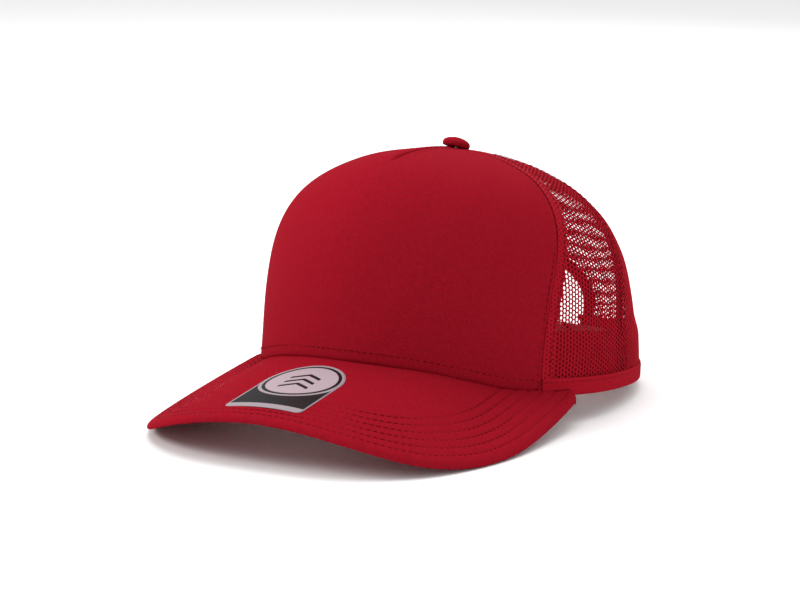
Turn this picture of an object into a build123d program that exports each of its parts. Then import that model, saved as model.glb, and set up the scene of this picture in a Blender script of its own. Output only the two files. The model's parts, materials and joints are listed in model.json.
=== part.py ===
"""Five-panel trucker cap with a curved brim, a netting back and a snap closure.

The cap has its own frame: the origin is the centre of the head opening, +X is the
wearer's left, -Y points to the brim and +Z is up through the crown. On a table the
cap stands on the two sides of its brim and on the back of its hem, so that frame
leans back by REST_TILT, and every sketch lies on a plane that leans with it.
"""

import os
from math import asin, atan2, cos, pi, radians, sin, sqrt, tan

from build123d import *

os.makedirs("parts", exist_ok=True)

# How the cap stands, degrees
REST_TILT = 5.93

# Crown, millimetres: outer half lengths of the head opening, and the height
FRONT_LENGTH = 98.0
BACK_LENGTH = 103.0
HALF_WIDTH = 87.0
CROWN_HEIGHT = 107.0
# Profiles of the crown, each a (steepness, roundness) pair of a superellipse
FRONT_PROFILE = (5.0, 3.7)
BACK_PROFILE = (1.5, 1.4)
SIDE_PROFILE = (4.4, 1.85)
# Fullness of the head opening in plan: 2 is an ellipse
FRONT_FULLNESS = 1.8
BACK_FULLNESS = 2.25
# How far the button sits behind the centre of the head opening
APEX_SHIFT = 2.6
OUTLINE_POINTS = 36
LEVELS = 13
LEVEL_SPACING = 2.3

# Cloth layers, each from one depth to the next under the crown's outer face
PANEL_LAYER = (0.0, 0.8)
LINING_LAYER = (0.9, 1.5)
STRAP_LAYER = (1.4, 2.4)
BAND_LAYER = (2.5, 3.8)
LABEL_LAYER = (3.9, 4.2)
TRIM_LAYER = (-0.55, -0.05)

# Seam between the front panel and the netting, seen from the side
SEAM_FOOT = -44.0
SEAM_BEND = 0.52
SEAM_BOW = -8.3
SEAM_POINTS = 9
# Seam between the side and back netting, degrees round from the brim
SIDE_SEAM_ANGLE = 98.5
TAPE_WIDTH = 9.0
# The tape of the front seam reaches this far ahead of the seam and behind it
FRONT_TAPE = (-4.5, 7.0)
TAPE_START = 13.0
BACKING_MARGIN = 6.0

# Rear opening: a half moon that narrows from its centre to its foot
OPENING_HALF_WIDTH = 32.3
OPENING_FOOT = 28.0
OPENING_CENTRE = 34.0
OPENING_KNEE = 18.0
OPENING_RISE = 19.0
OPENING_POINTS = 7
BINDING_WIDTH = 6.5
BINDING_FOLD = 1.2
BINDING_GAP = 0.1
BINDING_OUTER = (-0.6, -0.05)
BINDING_INNER = (0.85, 1.3)

HEM_HEIGHT = 8.0
BAND_BOTTOM = 1.0
# Height of the headband's top edge over the rim's centre, and its fall towards the back
BAND_TOP = 28.2
BAND_FALL = 0.036
LABEL_WIDTH = 16.0
LABEL_BOTTOM = 8.0
LABEL_TOP = 23.0
LABEL_CENTRE = -50.0

# Brim
BRIM_HALF_WIDTH = 90.3
BRIM_WIDEST = -82.2
BRIM_REACH = 87.7
BRIM_BACK = -30.0
# How much each side has drawn in by the back of the brim
BRIM_NARROWING = 3.4
BRIM_SIDE_CURVE = 3.06
BRIM_FRONT_CURVE = 2.0
BRIM_POINTS = 15
TAIL_POINTS = 4
TAIL_STRAIGHT = 6.0
BRIM_CORNER = 4.5
BRIM_RADIUS = 131.5
BRIM_RADIUS_CHANGE = 0.187
BRIM_SLOPE = 13.8
BRIM_CREST = 12.5
BRIM_THICKNESS = 3.6
# Beside the crown the brim's arch levels out, from this half width outwards
FLARE_START = 59.6
FLARE_HEIGHT = 23.0
ARCH_POINTS = 17
# Where the plate that the brim is cut from starts, ends and stops at the sides
PLATE_FRONT = -200.0
PLATE_BACK = 15.0
PLATE_HALF_WIDTH = 95.0
COVER_THICKNESS = 0.6
COVER_GAP = 0.1
COVER_WRAP = 3.0
RIM_WRAP = 0.9
CROWN_OVER_BRIM = 1.0

# Sticker on the brim
STICKER_THICKNESS = 0.2
STICKER_HALF_WIDTH = 19.4
STICKER_FRONT = -158.2
STICKER_BACK = -104.8
STICKER_OFFSET = -4.4
STICKER_CORNER = 3.0

# Top button
BUTTON_RADIUS = 6.6
BUTTON_HEIGHT = 4.2
BUTTON_CROWN = 2.6
BUTTON_CLOTH = 0.6
BUTTON_STAND = 0.65
# The button leans back, and to the wearer's left, degrees
BUTTON_LEAN_BACK = 11.0
BUTTON_LEAN_LEFT = 5.0
BORE_LENGTH = 30.0
RIVET_RADIUS = 1.4
RIVET_HOLE = 1.6
RIVET_FLANGE = 5.0
RIVET_FLANGE_THICKNESS = 0.5
RIVET_DROP = 3.65

# Snap closure: two straps that cross the rear opening
STRAP_ROOT = 27.0
STRAP_TIP = 22.5
STRAP_TAB = 48.0
STRAP_BOTTOM = 2.0
STRAP_TOP = 18.0
STRAP_THICKNESS = 1.0
STRAP_SPACING = 1.2
STRAP_RADIUS = 160.0
STRAP_SWEEP = 30.0
STRAP_GAP = 0.3
PEG_STRAP_GAP = 1.2
PEG_COUNT = 6
PEG_PITCH = 7.4
PEG_RADIUS = 1.75
PEG_HEAD = 0.8
PEG_ROOT = 0.4
HOLE_RADIUS = 2.3

# Sizes of the blocks that cut the cap: larger than all of it, and than its brim's height
REACH = 200.0
OVERHEAD = 50.0

lean = radians(REST_TILT)
rim = Plane(origin=(0, 0, 0), x_dir=(1, 0, 0), z_dir=(0, sin(lean), cos(lean)))
# The same frame seen from the front (X right, Z up) and from the wearer's left
front_view = Plane(origin=rim.origin, x_dir=rim.x_dir, z_dir=rim.y_dir * -1)
side_view = Plane(origin=rim.origin, x_dir=rim.y_dir, z_dir=rim.x_dir)


def remaining(level, steepness, roundness):
    """Share of a half length that is left at a level, from 0 at the rim to 1 at the top."""
    return (1 - level**steepness) ** (1 / roundness)


def crown_outline(level, inset):
    """Points round the crown at one level, starting at the front."""
    front = (FRONT_LENGTH - inset) * remaining(level, *FRONT_PROFILE)
    back = (BACK_LENGTH - inset) * remaining(level, *BACK_PROFILE)
    side = (HALF_WIDTH - inset) * remaining(level, *SIDE_PROFILE)
    centre = APEX_SHIFT * sqrt(level)
    points = []
    for index in range(OUTLINE_POINTS):
        turn = 2 * pi * index / OUTLINE_POINTS
        ahead = cos(turn) > 0
        full = FRONT_FULLNESS if ahead else BACK_FULLNESS
        length = front if ahead else back
        reach = (abs(sin(turn)) ** full + abs(cos(turn)) ** full) ** (-1 / full)
        points.append((side * reach * sin(turn), centre - length * reach * cos(turn)))
    return points


def crown_form(inset):
    """The solid form of the crown, inset from its outer face."""
    with BuildPart() as form:
        for index in range(LEVELS):
            level = 1 - (1 - index / LEVELS) ** LEVEL_SPACING
            with BuildSketch(rim.offset((CROWN_HEIGHT - inset) * level)):
                with BuildLine():
                    Spline(*crown_outline(level, inset), periodic=True)
                make_face()
        loft()
    return form.part


def crown_shell(layer):
    """One layer of the crown, from its outer depth to its inner depth."""
    outer = crown_form(layer[0])
    inner = crown_form(layer[1])
    with BuildPart() as shell:
        add(outer)
        add(inner, mode=Mode.SUBTRACT)
    return shell.part


def seam_depth(level, shift=0.0):
    """Y of the front seam at a level, moved back by shift."""
    falling = SEAM_FOOT * (1 - level) ** SEAM_BEND
    bow = SEAM_BOW * 4 * level * (1 - level)
    return falling + bow + APEX_SHIFT * sqrt(level) + shift


def seam_curve(shift=0.0):
    """The front seam from the hem to the button, in the side view."""
    points = []
    for index in range(SEAM_POINTS):
        level = 1 - (1 - index / (SEAM_POINTS - 1)) ** 2
        points.append((seam_depth(level, shift), CROWN_HEIGHT * level))
    return points


def ahead_of_seam(shift):
    """Everything in front of the front seam, moved back by shift."""
    curve = seam_curve(shift)
    foot, top = curve[0], curve[-1]
    with BuildPart() as block:
        with BuildSketch(side_view):
            with BuildLine():
                Spline(*curve)
                Polyline(top, (top[0], REACH), (-REACH, REACH), (-REACH, -REACH), (foot[0], -REACH), foot)
            make_face()
        extrude(amount=REACH, both=True)
    return block.part


def sector(start, end):
    """Everything round the button from one bearing to another, in degrees from the brim."""
    hub = (0, APEX_SHIFT)
    with BuildPart() as block:
        with BuildSketch(rim.offset(-REACH / 2)):
            with BuildLine():
                corners = []
                for bearing in (start, (start + end) / 2, end):
                    turn = radians(bearing)
                    corners.append((2 * REACH * sin(turn), APEX_SHIFT - 2 * REACH * cos(turn)))
                Polyline(hub, *corners, close=True)
            make_face()
        extrude(amount=2 * REACH)
    return block.part


def seam_strip(bearing):
    """A strip as wide as the seam tape, from near the button outwards on one bearing."""
    turn = radians(bearing)
    middle = (TAPE_START + REACH) / 2
    centre = (middle * sin(turn), APEX_SHIFT - middle * cos(turn))
    with BuildPart() as block:
        with BuildSketch(rim):
            with Locations(Location((*centre, 0), (0, 0, bearing - 90))):
                Rectangle(REACH - TAPE_START, TAPE_WIDTH)
        extrude(amount=REACH)
    return block.part


def box_between(left_end, right_end, front_end, back_end, bottom, top):
    """A box in the cap's own frame, between two places along each axis."""
    with BuildPart() as box:
        with BuildSketch(rim.offset(bottom)):
            with Locations(((left_end + right_end) / 2, (front_end + back_end) / 2)):
                Rectangle(right_end - left_end, back_end - front_end)
        extrude(amount=top - bottom)
    return box.part


def half(side):
    """Everything on one side of the cap: 1 is the wearer's left."""
    return box_between(min(0, side * REACH), max(0, side * REACH), -REACH, REACH, -REACH, REACH)


def opening_block(growth):
    """The rear opening, grown by growth, cut back through the crown."""
    wide, foot = OPENING_HALF_WIDTH + growth, OPENING_FOOT + growth
    flank = []
    for index in range(OPENING_POINTS):
        share = index / (OPENING_POINTS - 1)
        height = OPENING_KNEE + (OPENING_CENTRE - OPENING_KNEE) * share
        flank.append((foot + (wide - foot) * share**2 * (3 - 2 * share), height))
    with BuildPart() as block:
        with BuildSketch(front_view):
            with BuildLine():
                EllipticalCenterArc((0, OPENING_CENTRE), wide, OPENING_RISE + growth, arc_size=180)
                Spline(*flank, tangents=((0, 1), (0, 1)))
                Spline(*[(-x, height) for x, height in flank], tangents=((0, 1), (0, 1)))
                Polyline(
                    (-foot, OPENING_KNEE), (-foot, -REACH), (foot, -REACH), (foot, OPENING_KNEE)
                )
            make_face()
        extrude(amount=-REACH)
    return block.part


def arch_line(place, depth):
    """Points across the brim at a depth under its upper face, on one end section of its plate."""
    ahead = -FRONT_LENGTH - place
    radius = BRIM_RADIUS + BRIM_RADIUS_CHANGE * ahead
    centre = BRIM_CREST - ahead * tan(radians(BRIM_SLOPE)) - radius
    flare = FLARE_HEIGHT if place == PLATE_BACK else 0
    points = []
    for index in range(ARCH_POINTS):
        x = PLATE_HALF_WIDTH * (2 * index / (ARCH_POINTS - 1) - 1)
        beyond = max(abs(x) - FLARE_START, 0) / (PLATE_HALF_WIDTH - FLARE_START)
        points.append((x, centre + sqrt(radius**2 - x**2) + flare * beyond**2 - depth))
    return points


def brim_plate(top, bottom):
    """The brim's curved plate between two depths under its upper face, without its outline."""
    with BuildPart() as plate:
        for place in (PLATE_FRONT, PLATE_BACK):
            with BuildSketch(front_view.offset(-place)):
                with BuildLine():
                    upper = Spline(*arch_line(place, top))
                    lower = Spline(*arch_line(place, bottom))
                    Line(upper @ 0, lower @ 0)
                    Line(upper @ 1, lower @ 1)
                make_face()
        loft(ruled=True)
    return plate.part


def brim_side(place, inset):
    """Half width of the brim behind its widest place."""
    drawn_in = ((place - BRIM_WIDEST) / (BRIM_BACK - BRIM_WIDEST)) ** 2
    return BRIM_HALF_WIDTH - inset - BRIM_NARROWING * drawn_in


def brim_footprint(inset):
    """A block with the brim's outline in plan, inset from its rim."""
    points = []
    for index in range(-BRIM_POINTS, BRIM_POINTS + 1):
        share = 1 - (1 - abs(index) / BRIM_POINTS) ** 2
        turn = pi / 2 * share
        side = (BRIM_HALF_WIDTH - inset) * sin(turn) ** (2 / BRIM_SIDE_CURVE)
        ahead = (BRIM_REACH - inset) * max(cos(turn), 0) ** (2 / BRIM_FRONT_CURVE)
        points.append((side if index > 0 else -side, BRIM_WIDEST - ahead))
    for index in range(1, TAIL_POINTS + 1):
        tail = BRIM_BACK - TAIL_STRAIGHT - BRIM_WIDEST
        place = BRIM_WIDEST + tail * index / TAIL_POINTS
        side = brim_side(place, inset)
        points = [(-side, place), *points, (side, place)]
    back = BRIM_BACK - inset
    corner = brim_side(back, inset)
    with BuildPart() as block:
        with BuildSketch(rim.offset(-REACH / 2)) as outline:
            with BuildLine():
                Spline(*points)
                Polyline(points[-1], (corner, back), (-corner, back), points[0])
            make_face()
            fillet(outline.vertices().group_by(Axis.Y)[-1], BRIM_CORNER - inset)
        extrude(amount=REACH)
    return block.part


def head_block(inset):
    """The head opening in plan, inset from the crown's outer face, as an upright block."""
    with BuildPart() as block:
        with BuildSketch(rim.offset(-REACH / 2)):
            with BuildLine():
                Spline(*crown_outline(0, inset), periodic=True)
            make_face()
        extrude(amount=REACH)
    return block.part


def rivet_bore():
    """The small hole through every layer under the button."""
    with BuildPart() as bore:
        with Locations(button_plane):
            Cylinder(RIVET_HOLE, BORE_LENGTH)
    return bore.part


def button_form(radius, height):
    """A domed disc that stands over the middle of the crown."""
    dome_radius = (radius**2 + BUTTON_CROWN**2) / (2 * BUTTON_CROWN)
    with BuildPart() as form:
        with Locations(button_plane):
            Cylinder(radius, height, align=(Align.CENTER, Align.CENTER, Align.MIN))
        with Locations(button_plane.offset(height - dome_radius)):
            Sphere(dome_radius, mode=Mode.INTERSECT)
    return form.part


def back_wall(x, height, inset):
    """Y of the crown's back wall at an x and a height."""
    level = height / (CROWN_HEIGHT - inset)
    back = (BACK_LENGTH - inset) * remaining(level, *BACK_PROFILE)
    side = (HALF_WIDTH - inset) * remaining(level, *SIDE_PROFILE)
    share = (1 - (abs(x) / side) ** BACK_FULLNESS) ** (1 / BACK_FULLNESS)
    return APEX_SHIFT * sqrt(level) + back * share


def strap_band(outer_face, root, tip):
    """A plastic strap, from its root to its round tip, bent to STRAP_RADIUS."""
    side = 1 if root > tip else -1
    height = STRAP_TOP - STRAP_BOTTOM
    round_centre = tip + side * height / 2
    with BuildPart() as strap:
        with BuildSketch(strap_base):
            with BuildLine():
                start = 90 - STRAP_SWEEP / 2
                outer = CenterArc(strap_centre, outer_face, start, STRAP_SWEEP)
                inner = CenterArc(strap_centre, outer_face - STRAP_THICKNESS, start, STRAP_SWEEP)
                Line(outer @ 0, inner @ 0)
                Line(outer @ 1, inner @ 1)
            make_face()
        extrude(amount=height)
        with BuildSketch(strap_face):
            with Locations(((root + round_centre) / 2, height / 2)):
                Rectangle(abs(root - round_centre), height)
            with Locations((round_centre, height / 2)):
                Circle(height / 2)
        extrude(amount=OVERHEAD, both=True, mode=Mode.INTERSECT)
    return strap.part


def peg_places(radius):
    """One plane for each peg, at a distance from the straps' centre, facing outwards."""
    places = []
    middle = (STRAP_TOP - STRAP_BOTTOM) / 2
    for index in range(PEG_COUNT):
        along = (index - (PEG_COUNT - 1) / 2) * PEG_PITCH - strap_centre[0]
        turn = asin(along / STRAP_RADIUS)
        outward = strap_base.x_dir * sin(turn) + strap_base.y_dir * cos(turn)
        local = Vector(
            strap_centre[0] + radius * sin(turn), strap_centre[1] + radius * cos(turn), middle
        )
        places.append(Plane(origin=strap_base.from_local_coords(local), z_dir=outward))
    return places


def finish(piece, name):
    """Label a finished piece and write its STEP file."""
    piece.part.label = name
    export_step(piece.part, f"parts/{name}.step")


# Planes and blocks that several pieces share
button_lean = rim.y_dir * tan(radians(BUTTON_LEAN_BACK)) + rim.x_dir * tan(radians(BUTTON_LEAN_LEFT))
button_plane = Plane(
    origin=rim.from_local_coords(Vector(0, APEX_SHIFT, CROWN_HEIGHT + BUTTON_STAND)),
    z_dir=rim.z_dir + button_lean,
)
wall_foot = back_wall(STRAP_ROOT, STRAP_BOTTOM, STRAP_LAYER[0])
wall_head = back_wall(STRAP_ROOT, STRAP_TOP, STRAP_LAYER[0])
strap_lean = atan2(wall_foot - wall_head, STRAP_TOP - STRAP_BOTTOM)
strap_up = rim.z_dir * cos(strap_lean) - rim.y_dir * sin(strap_lean)
strap_base = Plane(
    origin=rim.from_local_coords(Vector(0, wall_foot, STRAP_BOTTOM)), x_dir=rim.x_dir, z_dir=strap_up
)
strap_face = Plane(origin=strap_base.origin, x_dir=rim.x_dir, z_dir=strap_base.y_dir * -1)
# The straps' common centre, off the middle so that both roots meet the wall
strap_skew = -STRAP_SPACING * STRAP_RADIUS / (2 * STRAP_ROOT)
strap_centre = (strap_skew, -sqrt(STRAP_RADIUS**2 - (STRAP_ROOT - strap_skew) ** 2))
peg_strap_face = STRAP_RADIUS - STRAP_SPACING

front_zone = ahead_of_seam(0)
bore = rivet_bore()
footprint = brim_footprint(0)
head_inside = head_block(CROWN_OVER_BRIM)
with BuildPart() as brim_seat:
    add(footprint)
    add(brim_plate(0, OVERHEAD), mode=Mode.INTERSECT)
with BuildPart() as under_brim:
    add(footprint)
    add(brim_plate(BRIM_THICKNESS + COVER_GAP, OVERHEAD), mode=Mode.INTERSECT)
with BuildPart() as tape_hub:
    with BuildSketch(rim):
        with Locations((0, APEX_SHIFT)):
            Circle(TAPE_START)
    extrude(amount=REACH)
panel_shell = crown_shell(PANEL_LAYER)
lining_shell = crown_shell(LINING_LAYER)
strap_shell = crown_shell(STRAP_LAYER)
band_shell = crown_shell(BAND_LAYER)
SIDES = {"left": 1, "right": -1}

# Front of the crown
with BuildPart() as front_panel:
    add(panel_shell)
    add(front_zone, mode=Mode.INTERSECT)
    add(brim_seat.part, mode=Mode.SUBTRACT)
    add(bore, mode=Mode.SUBTRACT)
finish(front_panel, "front_panel")

with BuildPart() as front_backing:
    add(lining_shell)
    add(ahead_of_seam(-BACKING_MARGIN), mode=Mode.INTERSECT)
    add(brim_seat.part, mode=Mode.SUBTRACT)
finish(front_backing, "front_backing")

# Netting: two side panels and two back panels
opening_in_netting = opening_block(BINDING_FOLD)
for name, side in SIDES.items():
    with BuildPart() as mesh_side:
        add(panel_shell)
        add(sector(0, side * SIDE_SEAM_ANGLE), mode=Mode.INTERSECT)
        add(front_zone, mode=Mode.SUBTRACT)
        add(brim_seat.part, mode=Mode.SUBTRACT)
        add(bore, mode=Mode.SUBTRACT)
    finish(mesh_side, f"mesh_side_{name}")

    with BuildPart() as mesh_back:
        add(panel_shell)
        add(sector(side * SIDE_SEAM_ANGLE, side * 180), mode=Mode.INTERSECT)
        add(opening_in_netting, mode=Mode.SUBTRACT)
        add(bore, mode=Mode.SUBTRACT)
    finish(mesh_back, f"mesh_back_{name}")

# Tapes over the seams, inside the crown
with BuildPart() as front_seam_band:
    add(ahead_of_seam(FRONT_TAPE[1]))
    add(ahead_of_seam(FRONT_TAPE[0]), mode=Mode.SUBTRACT)
for name, side in SIDES.items():
    with BuildPart() as seam_tape_front:
        add(lining_shell)
        add(front_seam_band.part, mode=Mode.INTERSECT)
        add(half(side), mode=Mode.INTERSECT)
        add(brim_seat.part, mode=Mode.SUBTRACT)
        add(tape_hub.part, mode=Mode.SUBTRACT)
    finish(seam_tape_front, f"seam_tape_front_{name}")

    with BuildPart() as seam_tape_side:
        add(lining_shell)
        add(seam_strip(side * SIDE_SEAM_ANGLE), mode=Mode.INTERSECT)
        add(front_seam_band.part, mode=Mode.SUBTRACT)
    finish(seam_tape_side, f"seam_tape_side_{name}")

with BuildPart() as seam_tape_center_back:
    add(lining_shell)
    add(seam_strip(180), mode=Mode.INTERSECT)
    add(opening_block(BINDING_WIDTH + BINDING_GAP), mode=Mode.SUBTRACT)
finish(seam_tape_center_back, "seam_tape_center_back")

# Folded edges: along the foot of the netting, and round the rear opening
opening_with_binding = opening_block(BINDING_WIDTH)
hem_shell = crown_shell(TRIM_LAYER)
for name, side in SIDES.items():
    with BuildPart() as hem_binding:
        add(hem_shell)
        add(half(side), mode=Mode.INTERSECT)
        add(box_between(-REACH, REACH, SEAM_FOOT, REACH, 0, HEM_HEIGHT), mode=Mode.INTERSECT)
        add(front_zone, mode=Mode.SUBTRACT)
        add(brim_seat.part, mode=Mode.SUBTRACT)
        add(opening_block(BINDING_WIDTH + BINDING_GAP), mode=Mode.SUBTRACT)
    finish(hem_binding, f"hem_binding_{name}")

with BuildPart() as fold_space:
    add(crown_shell((BINDING_OUTER[1], BINDING_INNER[0])))
    add(opening_block(BINDING_FOLD - BINDING_GAP), mode=Mode.SUBTRACT)
with BuildPart() as opening_binding:
    add(crown_shell((BINDING_OUTER[0], BINDING_INNER[1])))
    add(opening_with_binding, mode=Mode.INTERSECT)
    add(opening_block(0), mode=Mode.SUBTRACT)
    add(fold_space.part, mode=Mode.SUBTRACT)
finish(opening_binding, "opening_binding")

# Headband and its blank label
with BuildPart() as band_zone:
    with BuildSketch(side_view):
        with BuildLine():
            fall = BAND_FALL * REACH
            Polyline(
                (-REACH, BAND_BOTTOM), (REACH, BAND_BOTTOM), (REACH, BAND_TOP - fall),
                (-REACH, BAND_TOP + fall), close=True,
            )
        make_face()
    extrude(amount=REACH, both=True)
with BuildPart() as sweatband:
    add(band_shell)
    add(band_zone.part, mode=Mode.INTERSECT)
    add(under_brim.part, mode=Mode.SUBTRACT)
    add(opening_block(BINDING_FOLD), mode=Mode.SUBTRACT)
finish(sweatband, "sweatband")

with BuildPart() as size_label:
    add(crown_shell(LABEL_LAYER))
    add(
        box_between(
            LABEL_CENTRE - LABEL_WIDTH / 2,
            LABEL_CENTRE + LABEL_WIDTH / 2,
            0,
            REACH,
            LABEL_BOTTOM,
            LABEL_TOP,
        ),
        mode=Mode.INTERSECT,
    )
finish(size_label, "size_label")

# Brim
with BuildPart() as visor_board:
    add(brim_footprint(RIM_WRAP + COVER_GAP))
    add(
        brim_plate(COVER_THICKNESS + COVER_GAP, COVER_WRAP - COVER_GAP), mode=Mode.INTERSECT
    )
    add(head_inside, mode=Mode.SUBTRACT)
finish(visor_board, "visor_board")

with BuildPart() as board_space:
    add(brim_footprint(RIM_WRAP))
    add(brim_plate(COVER_THICKNESS, COVER_WRAP + COVER_GAP), mode=Mode.INTERSECT)
with BuildPart() as visor_top_cover:
    add(footprint)
    add(brim_plate(0, COVER_WRAP), mode=Mode.INTERSECT)
    add(board_space.part, mode=Mode.SUBTRACT)
    add(head_inside, mode=Mode.SUBTRACT)
finish(visor_top_cover, "visor_top_cover")

with BuildPart() as visor_bottom_cover:
    add(footprint)
    add(brim_plate(COVER_WRAP, BRIM_THICKNESS), mode=Mode.INTERSECT)
    add(head_inside, mode=Mode.SUBTRACT)
finish(visor_bottom_cover, "visor_bottom_cover")

with BuildPart() as visor_sticker:
    with BuildSketch(rim.offset(-REACH / 2)) as outline:
        with BuildLine():
            shoulder = STICKER_BACK - STICKER_HALF_WIDTH
            dome = CenterArc((STICKER_OFFSET, shoulder), STICKER_HALF_WIDTH, 0, 180)
            left_end = STICKER_OFFSET - STICKER_HALF_WIDTH
            right_end = STICKER_OFFSET + STICKER_HALF_WIDTH
            Polyline(dome @ 1, (left_end, STICKER_FRONT), (right_end, STICKER_FRONT), dome @ 0)
        make_face()
        fillet(outline.vertices().group_by(Axis.Y)[0], STICKER_CORNER)
    extrude(amount=REACH)
    add(brim_plate(-STICKER_THICKNESS, 0), mode=Mode.INTERSECT)
finish(visor_sticker, "visor_sticker")

# Top button
with BuildPart() as button_cover:
    add(button_form(BUTTON_RADIUS, BUTTON_HEIGHT))
    add(button_form(BUTTON_RADIUS - BUTTON_CLOTH, BUTTON_HEIGHT - BUTTON_CLOTH), mode=Mode.SUBTRACT)
finish(button_cover, "button_cover")

with BuildPart() as button_core:
    clear = BUTTON_CLOTH + COVER_GAP
    add(button_form(BUTTON_RADIUS - clear, BUTTON_HEIGHT - clear))
finish(button_core, "button_core")

with BuildPart() as button_rivet:
    for radius, length in ((RIVET_RADIUS, RIVET_DROP), (RIVET_FLANGE, RIVET_FLANGE_THICKNESS)):
        with Locations(button_plane.offset(-RIVET_DROP)):
            Cylinder(radius, length, align=(Align.CENTER, Align.CENTER, Align.MIN))
finish(button_rivet, "button_rivet")

# Snap closure
for name, side in SIDES.items():
    start = STRAP_ROOT + (STRAP_GAP if name == "left" else PEG_STRAP_GAP)
    ends = sorted((side * start, side * STRAP_TAB))
    with BuildPart() as strap_tab:
        add(strap_shell)
        add(box_between(*ends, 0, REACH, STRAP_BOTTOM, STRAP_TOP), mode=Mode.INTERSECT)
    finish(strap_tab, f"strap_tab_{name}")

with BuildPart() as strap_holes:
    add(strap_band(STRAP_RADIUS, STRAP_ROOT, -STRAP_TIP))
    for place in peg_places(STRAP_RADIUS):
        with Locations(place):
            Cylinder(HOLE_RADIUS, 4 * STRAP_THICKNESS, mode=Mode.SUBTRACT)
finish(strap_holes, "strap_holes")

with BuildPart() as strap_pegs:
    add(strap_band(peg_strap_face, -STRAP_ROOT, STRAP_TIP))
    peg_length = PEG_ROOT + STRAP_SPACING + PEG_HEAD
    for place in peg_places(peg_strap_face - PEG_ROOT):
        with Locations(place):
            Cylinder(PEG_RADIUS, peg_length, align=(Align.CENTER, Align.CENTER, Align.MIN))
finish(strap_pegs, "strap_pegs")
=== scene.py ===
"""The looks of a trucker cap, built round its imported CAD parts.

Lengths are millimetres in the cap's own frame (X the wearer's left, -Y the brim, Z up
through the crown) and become metres in the row frame in to_row. The sizes of the crown
and the brim repeat the driving dimensions of the CAD source.
"""

import json
import math

import bmesh
import bpy
import numpy as np
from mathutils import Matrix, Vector


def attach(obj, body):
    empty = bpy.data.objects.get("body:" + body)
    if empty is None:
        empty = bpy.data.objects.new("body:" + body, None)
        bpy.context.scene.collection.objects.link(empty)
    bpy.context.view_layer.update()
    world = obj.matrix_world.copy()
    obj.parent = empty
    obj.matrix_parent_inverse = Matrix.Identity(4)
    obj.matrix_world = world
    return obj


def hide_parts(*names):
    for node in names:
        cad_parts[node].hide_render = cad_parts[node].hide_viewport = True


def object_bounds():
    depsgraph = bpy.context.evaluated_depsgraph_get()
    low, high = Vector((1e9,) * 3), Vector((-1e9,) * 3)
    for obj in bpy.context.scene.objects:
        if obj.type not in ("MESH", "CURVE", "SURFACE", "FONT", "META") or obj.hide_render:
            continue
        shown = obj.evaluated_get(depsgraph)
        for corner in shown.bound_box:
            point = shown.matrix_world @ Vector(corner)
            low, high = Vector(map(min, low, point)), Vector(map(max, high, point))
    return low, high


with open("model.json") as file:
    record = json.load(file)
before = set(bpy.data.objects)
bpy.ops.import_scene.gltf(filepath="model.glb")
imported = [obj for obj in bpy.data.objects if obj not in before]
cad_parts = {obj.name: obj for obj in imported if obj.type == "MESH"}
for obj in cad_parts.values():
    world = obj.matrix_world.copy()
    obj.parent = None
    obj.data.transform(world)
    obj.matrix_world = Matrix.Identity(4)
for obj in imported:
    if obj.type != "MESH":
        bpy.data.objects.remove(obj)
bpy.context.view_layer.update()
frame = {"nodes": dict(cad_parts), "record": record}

MM = 0.001

# Crown
FRONT_LENGTH, BACK_LENGTH, HALF_WIDTH, HEIGHT = 98.0, 103.0, 87.0, 107.0
FRONT_PROFILE, BACK_PROFILE, SIDE_PROFILE = (5.0, 3.7), (1.5, 1.4), (4.4, 1.85)
FRONT_FULLNESS, BACK_FULLNESS = 1.8, 2.25
APEX_SHIFT = 2.6
SEAM_FOOT, SEAM_BEND, SEAM_BOW = -44.0, 0.52, -8.3
SIDE_SEAM = math.radians(98.5)
TAPE_HALF, FRONT_TAPE_BEHIND = 4.5, 5.8
# Depths under the crown's outer face
LINING, BAND, LABEL = (0.9, 1.5), (2.5, 3.8), (3.9, 4.2)
OPENING_HALF, OPENING_FOOT, OPENING_KNEE = 32.3, 28.0, 18.0
OPENING_CENTRE, OPENING_RISE = 34.0, 19.0
BINDING_WIDTH = 6.5
HEM = 8.0
BAND_BOTTOM, BAND_TOP, BAND_FALL = 1.0, 28.2, 0.036
# The headband presses the foot of the netting out by this share, up to about this height
BAND_SWELL, SWELL_TOP, SWELL_FADE = 0.019, 33.0, 12.0

# Brim
BRIM_HALF, BRIM_WIDEST, BRIM_REACH, BRIM_BACK = 90.3, -82.2, 87.7, -30.0
BRIM_NARROWING, BRIM_CORNER = 3.4, 4.5
BRIM_SIDE_CURVE, BRIM_FRONT_CURVE = 3.06, 2.0
BRIM_RADIUS, BRIM_RADIUS_CHANGE, BRIM_SLOPE, BRIM_CREST = 131.5, 0.187, 13.8, 12.5
FLARE_START, FLARE_HEIGHT = 59.6, 23.0
PLATE_FRONT, PLATE_BACK, PLATE_HALF = -200.0, 15.0, 95.0
BRIM_THICKNESS = 3.6

axis = frame["record"]["mounts"][0]["axis"]
LEAN_SIN, LEAN_COS = -axis[1], -axis[2]


# ---- shapes

def to_row(points):
    """Millimetres in the cap's own frame to metres in the row frame."""
    x, y, z = np.asarray(points, float).reshape(-1, 3).T
    return np.stack((x, y * LEAN_COS + z * LEAN_SIN, z * LEAN_COS - y * LEAN_SIN), 1) * MM


def smooth(value):
    value = np.clip(value, 0, 1)
    return value * value * (3 - 2 * value)


def bell(offset, width):
    """1 at no offset, and fading to 0 past a width."""
    return np.exp(-((offset / width) ** 2))


def remaining(level, steepness, roundness):
    return np.maximum(1 - level**steepness, 0) ** (1 / roundness)


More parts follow.
